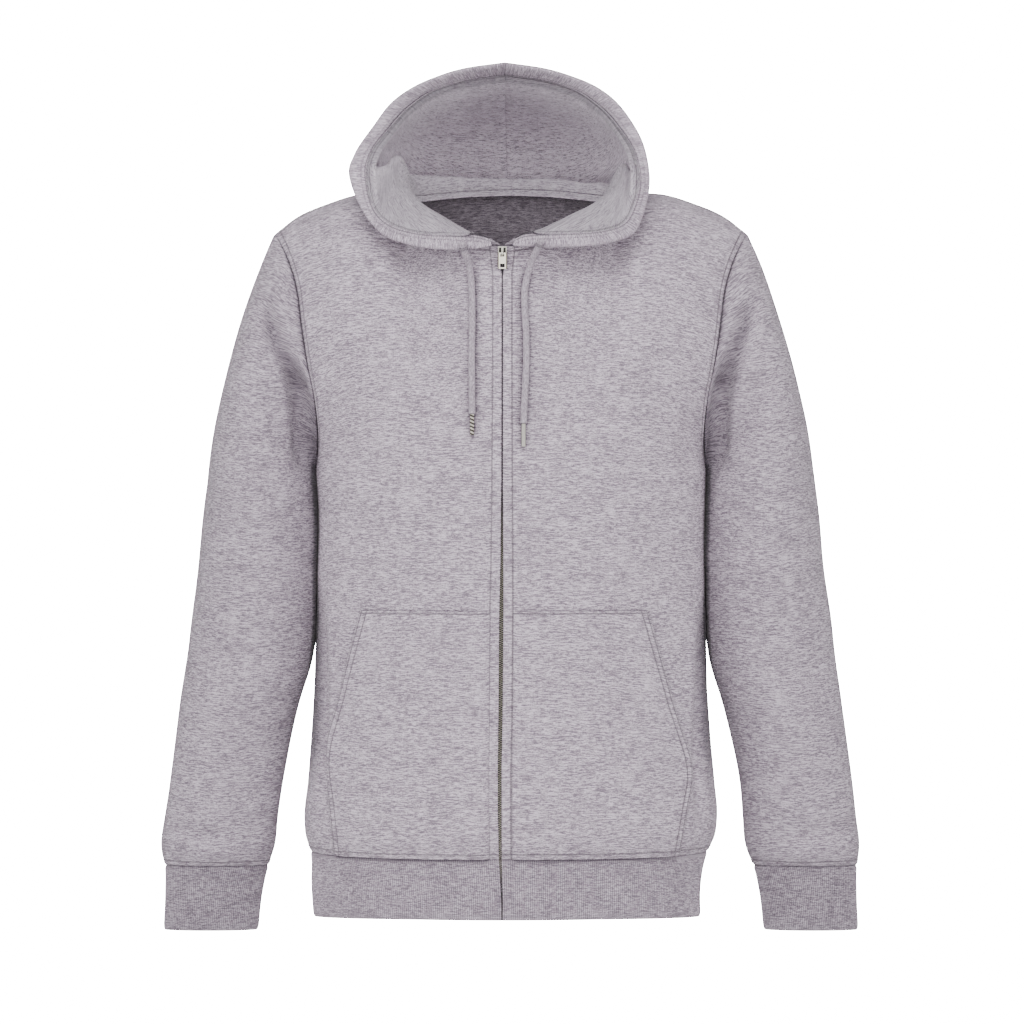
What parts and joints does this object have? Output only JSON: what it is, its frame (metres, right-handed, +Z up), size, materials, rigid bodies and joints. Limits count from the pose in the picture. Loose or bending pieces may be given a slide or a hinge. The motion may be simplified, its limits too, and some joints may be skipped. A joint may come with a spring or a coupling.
{
  "type": "zip up hoodie",
  "caption": "Zip-up hooded sweatshirt in its worn, hollow form: long sleeves, kangaroo pockets, rib hem and cuffs, drawstrings and a full-length zip.",
  "frame": {"origin": "middle of the neck at the level of the shoulder ridge, where the wearer's shoulders hold the garment", "axes": "+Z up, -Y out of the front, +X to the wearer's left"},
  "size_m": [0.6712, 0.3082, 0.8361],
  "materials": {
    "fleece": "brushed heather grey cotton fleece, matt",
    "rib": "heather grey rib knit, matt",
    "zip_tape": "woven grey tape, matt",
    "cord": "braided heather grey cotton cord, matt",
    "zip_metal": "dull grey metal teeth",
    "silver": "bright silver-coloured plated metal"
  },
  "bodies": {
    "garment": {"front_right": "fleece", "front_left": "fleece", "back": "fleece", "sleeve_right": "fleece", "sleeve_left": "fleece", "hood_right": "fleece", "hood_left": "fleece", "hood_edge_right": "fleece", "hood_edge_left": "fleece", "pocket_right": "fleece", "pocket_left": "fleece", "hem_rib": "rib", "cuff_right": "rib", "cuff_left": "rib", "zip_tape_right": "zip_tape", "zip_tape_left": "zip_tape", "zip_chain": "zip_metal", "zip_slider": "silver", "drawstring_right": "cord", "drawstring_left": "cord", "cord_tip_right": "silver", "cord_tip_left": "silver"},
    "pull": {"zip_pull": "silver"}
  },
  "joints": [
    {"name": "zip_pull_swing", "type": "hinge", "parent": "garment", "child": "pull", "pos_m": [-0.008, -0.11191, -0.08401], "axis": [-1, 0, 0], "range_deg": [0, 160]}
  ]
}
